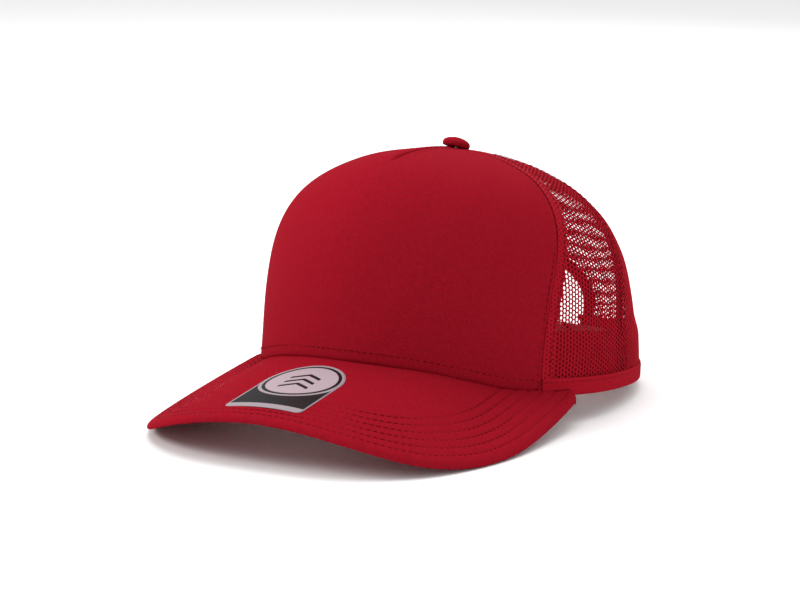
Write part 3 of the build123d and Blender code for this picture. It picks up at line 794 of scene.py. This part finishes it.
# Folded edge round the rear opening
FOLD = np.array([
    (6.5, -0.10), (6.4, -0.50), (5.6, -0.58), (3.5, -0.60), (1.4, -0.58), (0.5, -0.42), (0.08, 0.0),
    (0.0, 0.45), (0.12, 0.95), (0.6, 1.22), (2.0, 1.30), (4.5, 1.30), (6.0, 1.28), (6.45, 1.15),
    (6.5, 0.88), (3.5, 0.86), (1.3, 0.84), (0.7, 0.40), (1.3, -0.04), (3.5, -0.06),
])
share = np.linspace(0, 1, 241)[:, None]
growth, depth = FOLD[None, :, 0] + 0 * share, FOLD[None, :, 1] + 0 * share
x, z = np.empty_like(growth), np.empty_like(growth)
for k in range(growth.shape[1]):
    x[:, k], z[:, k] = opening_outline(share[:, 0], FOLD[k, 0])
level = np.maximum(z, 0.2) / HEIGHT
turn = back_turn(x, level)
points = crown_at(turn, level, depth + 0.04 * np.sin(share * 260))
uv = np.stack((np.broadcast_to(lengths(points, 0)[:, :1], growth.shape), lengths(points, 1)), -1)
count = points.shape[1]
faces = grid_faces(points.shape[0], count, 0, False, True)
ends = []
for start, turned in ((0, 1), ((points.shape[0] - 1) * count, -1)):
    for a, b in zip(range(0, 9), range(1, 10)):
        ends.append([start + k for k in (a, (count - a) % count, (count - b) % count, b)][::turned])
faces = np.concatenate((faces, np.array([e for e in ends if len(set(e)) == 4])))
opening_binding = make_object(
    "opening_binding_cloth", points.reshape(-1, 3), faces, red_tape, uv.reshape(-1, 2)
)

# Folded edge along the foot of the netting
hems = {}
for word, side in (("left", 1), ("right", -1)):
    drop = np.array([HEM, 7.8, 6.5, 5.0, 3.5, 2.0, 0.9, 0.25, 0.0])
    depth = np.array([-0.12, -0.42, -0.5, -0.55, -0.55, -0.52, -0.5, -0.3, 0.15])
    level = np.repeat(drop[:, None] / HEIGHT, 220, axis=1)
    begin = front_seam_turn(level[:, 0], 0.3)
    edge = OPENING_FOOT + BINDING_WIDTH + 0.1
    finish_turn = back_turn(np.full(len(drop), edge), level[:, 0])
    run = np.linspace(0, 1, 220)[None, :]
    turn = begin[:, None] + (finish_turn - begin)[:, None] * run
    low = crown(turn, level)
    on_brim = np.where(low[..., 1] < BRIM_BACK, brim_z(low[..., 0], low[..., 1]) + 0.1, 0)
    level = np.maximum(level, on_brim / HEIGHT)
    begun = smooth(run * 12)
    outer = crown_at(turn, level, depth[:, None] * (0.25 + 0.75 * begun) + 0.05 * np.sin(run * 190))
    inner = crown_at(turn, level, np.maximum(depth[:, None] + 0.45, -0.06) + 0.1 * (1 - begun))
    uv = np.stack((lengths(outer, 1), HEIGHT * level), -1)
    hems[f"hem_binding_{word}"] = cloth(
        f"hem_binding_{word}_cloth", mirrored(outer, side), mirrored(inner, side), uv, red_tape,
        side > 0,
    )

# Headband
BAND_ENDS = np.array([29.0, -29.5])
turns = back_turn(BAND_ENDS, np.array([0.02, 0.02]))
turn_line = np.linspace(turns[1] - 2 * math.pi, turns[0], 420)
plan = crown(turn_line, 0.05)
under_brim = brim_z(plan[:, 0], plan[:, 1]) - BRIM_THICKNESS - 0.1
bottom = np.where(plan[:, 1] < BRIM_BACK, np.maximum(under_brim, BAND_BOTTOM), BAND_BOTTOM)
height_share = np.array([0, 0.03, 0.12, 0.3, 0.5, 0.7, 0.86, 0.93, 0.965, 1.0])
thick = np.array([0.45, 0.7, 0.95, 1.1, 1.15, 1.1, 0.95, 1.15, 1.25, 0.7])
band_top = BAND_TOP - BAND_FALL * plan[:, 1]
level = (bottom[None, :] + (band_top - bottom)[None, :] * height_share[:, None]) / HEIGHT
turn = np.broadcast_to(turn_line[None, :], level.shape)
waves = 0.10 * np.sin(turn * 61) * smooth(height_share * 2)[:, None]
outer = crown_at(turn, level, BAND[0] + 0.05 + 0.1 * height_share[:, None] + 0 * turn)
inner = crown_at(turn, level, BAND[0] + 0.1 + thick[:, None] + waves)
uv = np.stack((lengths(outer, 1), HEIGHT * level), -1)
sweatband = cloth("sweatband_cloth", outer, inner, uv, red_band_painted_light)

# Blank label inside the headband
LABEL_SIDES, LABEL_EDGES = (-57.7, -42.3), (8.2, 22.8)
label_x = np.linspace(*LABEL_SIDES, 15)[None, ::-1]
level = np.linspace(*LABEL_EDGES, 12)[:, None] / HEIGHT + 0 * label_x
turn = back_turn(label_x + 0 * level, level)
size_label = layer("size_label_cloth", turn, level, (LABEL[0] + 0 * level, LABEL[1]), label_cloth)

# ---- brim

STITCH_ROWS = (4.6, 9.1, 13.6, 18.1, 22.6, 27.1)
BRIM_TUCK = 2.0
CHANNEL_DEPTH, CHANNEL_HALF = 0.3, 0.55


def brim_limit(turn, extra=0.0):
    """Inset at which the brim meets the crown, for each turn of its outline."""
    def inside(inset):
        x, y = brim_plan(turn, extra, inset)
        level = np.clip(brim_z(x, y) / HEIGHT, 0, 1)
        front = FRONT_LENGTH * remaining(level, *FRONT_PROFILE) - BRIM_TUCK
        side = HALF_WIDTH * remaining(level, *SIDE_PROFILE) - BRIM_TUCK
        full = (np.abs(x) / side) ** FRONT_FULLNESS + (
            np.abs(y - APEX_SHIFT * np.sqrt(level)) / front) ** FRONT_FULLNESS
        return 1 - full

    return solve(inside, 0.0, 100.0, turn)


def channel(inset):
    """Dip of the cloth along the rows of stitching."""
    dip = np.zeros_like(inset)
    for row in STITCH_ROWS:
        dip = dip + CHANNEL_DEPTH * bell(inset - row, CHANNEL_HALF)
    return dip


w = np.linspace(-1, 1, 301)
main_turn = np.pi / 2 * np.sign(w) * (1 - (1 - np.abs(w)) ** 1.6)
TAIL, WRAP = 27, (0.35, 1.0, 1.8, 2.6, 3.3)
tail = np.concatenate((np.linspace(0, 1, TAIL + 1)[1:], np.ones(len(WRAP))))
wrap_tail = np.concatenate((np.zeros(TAIL), WRAP))
side_turn = np.full(len(tail), np.pi / 2)
brim_turn = np.concatenate((-side_turn, main_turn, side_turn))
extra = np.concatenate((tail[::-1], np.zeros(301), tail))
wrap = np.concatenate((wrap_tail[::-1], np.zeros(301), wrap_tail))
limit = brim_limit(brim_turn, extra)
rim_angle = np.radians(np.linspace(-78, 70, 10))
rim_inset = 1.75 * (1 - np.cos(rim_angle))
rim_depth = 1.78 - 1.72 * np.sin(rim_angle)
flat_inset = np.concatenate((np.arange(1.9, 32, 0.42), np.arange(32.5, 80, 1.0)))
inset = np.concatenate((rim_inset, flat_inset))
depth = np.concatenate((rim_depth, channel(flat_inset)))
inset_grid = np.minimum(inset[:, None], limit[None, :])
depth_grid = np.maximum(depth[:, None], wrap[None, :])
x, y = brim_plan(brim_turn, extra, inset_grid)
y = y + 0.5 * np.sin(np.pi * wrap / 3.6)
soft = 0.18 * np.sin(x * 0.11 + y * 0.07) * smooth((inset_grid - 2) / 10)
outer = brim_at(x, y, depth_grid + soft)
uv = np.stack((x, y), -1)
inner_inset = np.minimum(np.maximum(inset_grid, 0.7), limit[None, :])
x, y = brim_plan(brim_turn, extra, inner_inset)
y = y - 0.5 * smooth(wrap)
inner_depth = np.where((inset[:, None] < 1.9) | (wrap > 0), np.clip(depth_grid, 0.62, 3.0), depth_grid + 0.55)
inner = brim_at(x, y, inner_depth)
top_cover = cloth("visor_top_cover_cloth", outer, inner, uv, brim_twill)

flat_inset = np.concatenate(((0.75, 1.0, 1.4), np.arange(1.9, 32, 0.6), np.arange(32.5, 80, 1.5)))
inset_grid = np.minimum(flat_inset[:, None], limit[None, :])
x, y = brim_plan(brim_turn, extra * 0.985, inset_grid)
roll = 0.35 * (1 - smooth((flat_inset - 0.7) / 1.3))[:, None]
outer = brim_at(x, y, BRIM_THICKNESS - roll - 0.8 * channel(flat_inset)[:, None] + 0 * x)
inner = brim_at(x, y, BRIM_THICKNESS - 0.55 + 0 * x)
uv = np.stack((x, y), -1)
bottom_cover = cloth("visor_bottom_cover_cloth", outer, inner, uv, brim_twill, True)


def brim_row(inset, depth, under=False):
    """Path and normals of a row of stitching on the brim."""
    share = np.linspace(-1, 1, 601)
    turn = np.pi / 2 * np.sign(share) * (1 - (1 - np.abs(share)) ** 1.6)
    run_on = np.linspace(0, 1, 80)[1:]
    ends = np.full(len(run_on), np.pi / 2)
    turn = np.concatenate((-ends, turn, ends))
    extra = np.concatenate((run_on[::-1], 0 * share, run_on))
    use = (brim_limit(turn, extra) > inset + 0.4) & (extra < 0.985)
    x, y = brim_plan(turn[use], extra[use], inset)
    up = brim_normal(x, y)
    return brim_at(x, y, depth), -up if under else up


# Sticker on the brim
STICKER_MIDDLE, STICKER_HALF, STICKER_LENGTH, STICKER_CORNER = -124.2, 19.4, 34.0, 3.0
STICKER_OFFSET = -4.4
foot_y = STICKER_CORNER - STICKER_LENGTH
place = np.concatenate((
    foot_y - STICKER_CORNER * np.cos(np.radians(np.linspace(0, 90, 8))), np.linspace(foot_y + 1, -2, 14),
    STICKER_HALF * np.sin(np.radians(np.linspace(0, 90, 24)))))
corner_half = np.sqrt(np.maximum(STICKER_CORNER**2 - (place - foot_y) ** 2, 0))
dome_half = np.sqrt(np.maximum(STICKER_HALF**2 - place**2, 0))
half = np.where(place > 0, dome_half, np.where(
    place < foot_y, STICKER_HALF - STICKER_CORNER + corner_half, STICKER_HALF))
x = np.maximum(half, 0.01)[:, None] * np.linspace(-1, 1, 31)[None, :]
y = place[:, None] + 0 * x
uv = np.stack((x, y), -1)
sticker_outer = brim_at(x + STICKER_OFFSET, y + STICKER_MIDDLE, -0.24)
sticker_inner = brim_at(x + STICKER_OFFSET, y + STICKER_MIDDLE, -0.05)


# Widths of the foil's silver border and of the silver band along its straight edge
BORDER, FOIL_BAND = 0.8, 4.5


def sticker_material():
    """Printed foil: a silver border, a disc with a ring and chevrons, a dark lower field."""
    shader = Shader("sticker_foil", roughness=0.5)
    shader.bsdf.inputs["Specular IOR Level"].default_value = 0.15
    weave = shader.weave_uv()
    split = shader.add("SeparateXYZ", weave)
    x, y = split.outputs[0], split.outputs[1]

    def disc(centre, radius):
        dy = shader.math("SUBTRACT", y, centre)
        square = shader.math("ADD", shader.math("MULTIPLY", x, x), shader.math("MULTIPLY", dy, dy))
        return shader.math("LESS_THAN", shader.math("SQRT", square), radius)

    def band(value, low, high):
        return shader.math("MULTIPLY", shader.math("GREATER_THAN", value, low),
                           shader.math("LESS_THAN", value, high))

    wide = shader.math("ABSOLUTE", x)
    silver, black, pale = linear(150, 138, 144), linear(12, 8, 11), linear(168, 150, 157)
    field = shader.math("MULTIPLY", shader.math("LESS_THAN", wide, STICKER_HALF - BORDER),
                        band(y, FOIL_BAND - STICKER_LENGTH, 0.0))
    colour = shader.mix(field, silver, black)
    for radius, tint in ((STICKER_HALF, silver), (17.8, black), (16.2, pale)):
        colour = shader.mix(disc(0.0, radius), colour, tint)
    for centre in (-7.0, -1.5, 4.0):
        rise = shader.math("MULTIPLY_ADD", wide, -0.55, centre + 3.0)
        stroke = shader.math("MULTIPLY", band(shader.math("SUBTRACT", y, rise), -1.1, 1.1),
                             shader.math("LESS_THAN", wide, 7.5))
        colour = shader.mix(stroke, colour, black)
    shader.colour(colour)
    return shader.material


sticker = cloth("visor_sticker_foil", sticker_outer, sticker_inner, uv, sticker_material())

# ---- button

BUTTON_STAND = 0.65
LEAN_LEFT, LEAN_BACK = math.radians(5.0), math.radians(11.0)
button_foot = np.array((0.0, APEX_SHIFT, HEIGHT + BUTTON_STAND))
button_up = unit(np.array((math.tan(LEAN_LEFT), math.tan(LEAN_BACK), 1.0)))
button_side = unit(np.cross(np.array((0.0, 1.0, 0.0)), button_up))
button_back = np.cross(button_up, button_side)
# Outlines of the cover and of the inside of its cloth: radius and height, before the squash
profile = np.array([
    (1.5, -0.7), (3.2, -0.8), (5.2, -0.8), (6.1, -0.6), (6.5, 0.1), (6.6, 1.1), (6.55, 1.9),
    (6.3, 2.6), (5.8, 3.3), (5.0, 3.95), (4.0, 4.5), (2.8, 4.95), (1.5, 5.25), (0.6, 5.36), (0.0, 5.38),
])
BUTTON_SQUASH = np.array((1.0, 0.78))
lining = np.array([
    (1.5, -0.2), (3.2, -0.3), (5.0, -0.3), (5.7, -0.1), (5.95, 0.3), (6.0, 1.1), (5.98, 1.7),
    (5.8, 2.25), (5.35, 2.85), (4.6, 3.45), (3.7, 3.95), (2.6, 4.35), (1.4, 4.62), (0.55, 4.75), (0.0, 4.78),
])
profile, lining = profile * BUTTON_SQUASH, lining * BUTTON_SQUASH
around = np.linspace(0, 2 * np.pi, 97)[None, :]
gather = 0.10 * np.sin(around * 13 + 0.7 * np.sin(around * 3)) * smooth((2.6 - profile[:, 1:2]) / 2.2)


def button_points(shape, push):
    radius = shape[:, :1] + push + 0 * around
    side = radius * np.sin(around)
    back = radius * np.cos(around)
    rise = shape[:, 1:2] + 0 * around
    return (button_foot + side[..., None] * button_side + back[..., None] * button_back
            + rise[..., None] * button_up)


outer = button_points(profile, gather)
inner = button_points(lining, 0)
uv = np.stack((np.maximum(profile[:, :1], 0.01) * np.sin(around), profile[:, :1] * np.cos(around)), -1)
button_cover = cloth("button_cover_cloth", outer, inner, uv, red_twill, True)

# ---- stitching

# Distances of the rows behind the front seam, beside the side seam, over the brim, outside
# the rear opening, over the hem's foot and under the headband's top edge
SEAM_ROWS, SIDE_ROW = (-1.9, 4.0), 2.6
FOOT_ROW, BINDING_ROW, HEM_ROW, BAND_ROW = 5.2, 4.9, 6.2, 3.4
# Turns at which the hem's row starts, and at which it and the headband's row end
HEM_START, ROW_END = 1.06, 2.62


def crown_row(turn, level, depth):
    """Path and normals of a row of stitching on the crown."""
    return crown_at(turn, level, depth + 0 * level), crown_normal(turn, level)


def both_sides(rows):
    return rows + [(mirrored(p, -1), mirrored(n, -1)) for p, n in rows]


fine_level = np.linspace(0.02, 0.985, 400)
seam_rows = both_sides([
    crown_row(front_seam_turn(fine_level, SEAM_ROWS[0]), fine_level, 0.12),
    crown_row(front_seam_turn(fine_level, SEAM_ROWS[1]), fine_level, 0.0),
    crown_row(strip_turn(fine_level, SIDE_SEAM, SIDE_ROW), fine_level, 0.0),
    crown_row(strip_turn(fine_level, SIDE_SEAM, -SIDE_ROW), fine_level, 0.0),
])
seam_stitches = stitches("seam_stitching", seam_rows, seam_thread_painted_shade)
u_line = np.linspace(-0.97, 0.97, 500)
foot_level = front_floor(u_line, lift=FOOT_ROW)
foot_row = [crown_row(u_line * front_seam_turn(foot_level), foot_level, -0.02)]
foot_stitches = stitches("front_foot_stitching", foot_row, seam_thread_painted_shade)
brim_rows = [brim_row(row, 0.22) for row in STITCH_ROWS]
brim_rows += [brim_row(row, BRIM_THICKNESS - 0.18, True) for row in STITCH_ROWS]
brim_stitches = stitches("visor_stitching", brim_rows, red_thread, radius=0.2)
x, z = opening_outline(np.linspace(0, 1, 400), BINDING_ROW)
level = np.maximum(z, 0.5) / HEIGHT
binding_rows = [crown_row(back_turn(x, level), level, -0.58)]
path, up = crown_row(back_turn(x, level), level, 1.32)
binding_rows.append((path, -up))
binding_stitches = stitches("opening_binding_stitching", binding_rows, red_thread)
hem_level = np.full(400, HEM_ROW / HEIGHT)
hem_rows = both_sides([crown_row(np.linspace(HEM_START, ROW_END, 400), hem_level, -0.53)])
hem_stitches = stitches("hem_stitching", hem_rows, red_thread)
band_rows = []
line = np.linspace(-ROW_END, ROW_END, 500)
rim_y = crown(line, np.full(500, 0.25))[:, 1]
path, up = crown_row(line, (BAND_TOP - BAND_FALL * rim_y - BAND_ROW) / HEIGHT, BAND[0] + 1.15)
band_rows.append((path, -up))
band_stitches = stitches("sweatband_stitching", band_rows, red_thread)

# ---- joining the frame

BODY = "cap"
stand_ins = {
    front_panel: ("front_panel", "twill"), front_backing: ("front_backing", "backing"),
    opening_binding: ("opening_binding", "binding"), sweatband: ("sweatband", "headband"),
    size_label: ("size_label", "label"), top_cover: ("visor_top_cover", "twill"),
    bottom_cover: ("visor_bottom_cover", "twill"), sticker: ("visor_sticker", "sticker"),
    button_cover: ("button_cover", "twill"),
}
stand_ins.update({piece: (node, "netting") for node, piece in nets.items()})
stand_ins.update({piece: (node, "tape") for node, piece in tapes.items()})
stand_ins.update({piece: (node, "binding") for node, piece in hems.items()})
for piece, (node, slot) in stand_ins.items():
    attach(piece, BODY)
    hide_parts(node)
for piece, slot in (
    (seam_stitches, "twill"), (foot_stitches, "twill"), (brim_stitches, "twill"),
    (binding_stitches, "binding"), (hem_stitches, "binding"), (band_stitches, "headband"),
):
    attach(piece, BODY)

carried = {
    "visor_board": (board_plastic, "board"), "button_core": (core_metal, "metal"),
    "button_rivet": (core_metal, "metal"), "strap_tab_left": (strap_plastic, "strap_plastic"),
    "strap_tab_right": (strap_plastic, "strap_plastic"),
    "strap_holes": (strap_plastic, "strap_plastic"), "strap_pegs": (strap_plastic, "strap_plastic"),
}
for node, (material, slot) in carried.items():
    piece = frame["nodes"][node]
    piece.data.materials.clear()
    piece.data.materials.append(material)

for node, piece in tapes.items():
    side = node.rsplit("_", 1)[-1]
    if "front" in node:
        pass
    elif "side" in node:
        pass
    else:
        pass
for node, piece in hems.items():
    side = node.rsplit("_", 1)[-1]

# ---- studio

low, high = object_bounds()
floor_mesh = bpy.data.meshes.new("floor")
FLOOR_REACH = 6.0
floor_mesh.from_pydata(
    [(x * FLOOR_REACH, y * FLOOR_REACH, low.z) for x, y in ((-1, -1), (1, -1), (1, 1), (-1, 1))],
    [], [(0, 1, 2, 3)],
)
floor = bpy.data.objects.new("floor", floor_mesh)
bpy.context.scene.collection.objects.link(floor)
floor_shader = Shader("floor_paper", roughness=0.9)
floor_shader.bsdf.inputs["Base Color"].default_value = (0.93, 0.93, 0.93, 1)
floor.data.materials.append(floor_shader.material)

world = bpy.data.worlds.new("studio")
world.use_nodes = True
world.node_tree.nodes["Background"].inputs[0].default_value = (1, 1, 1, 1)
world.node_tree.nodes["Background"].inputs[1].default_value = 0.68
bpy.context.scene.world = world

# Point looked at, direction from it to the camera, and how far off the camera is
TARGET = Vector((-0.0190, -0.0069, 0.0337))
BACK, DISTANCE = Vector((0.4752, -0.8578, 0.1958)).normalized(), 1.4126


def light(name, place, size, power):
    data = bpy.data.lights.new(name, "AREA")
    data.energy = power
    data.shape = "RECTANGLE"
    data.size, data.size_y = size
    made = bpy.data.objects.new(name, data)
    made.location = place
    made.rotation_euler = (TARGET - Vector(place)).to_track_quat("-Z", "Y").to_euler()
    bpy.context.scene.collection.objects.link(made)


light("key", (-1.5, -0.9, 1.1), (0.8, 0.8), 20)
light("top", (-0.2, 0.2, 1.8), (1.4, 1.4), 21.5)
light("fill", (1.3, -1.2, 0.5), (1.0, 1.0), 2.0)
light("back", (0.1, 1.3, 0.7), (1.2, 0.6), 7.0)

camera = bpy.data.objects.new("camera", bpy.data.cameras.new("camera"))
camera.data.lens, camera.data.sensor_width = 132.9, 36.0
camera.data.clip_start, camera.data.clip_end = 0.1, 20.0
camera.location = TARGET + BACK * DISTANCE
camera.rotation_euler = BACK.to_track_quat("Z", "Y").to_euler()
bpy.context.scene.collection.objects.link(camera)
bpy.context.scene.camera = camera
bpy.context.scene.view_settings.view_transform = "Standard"
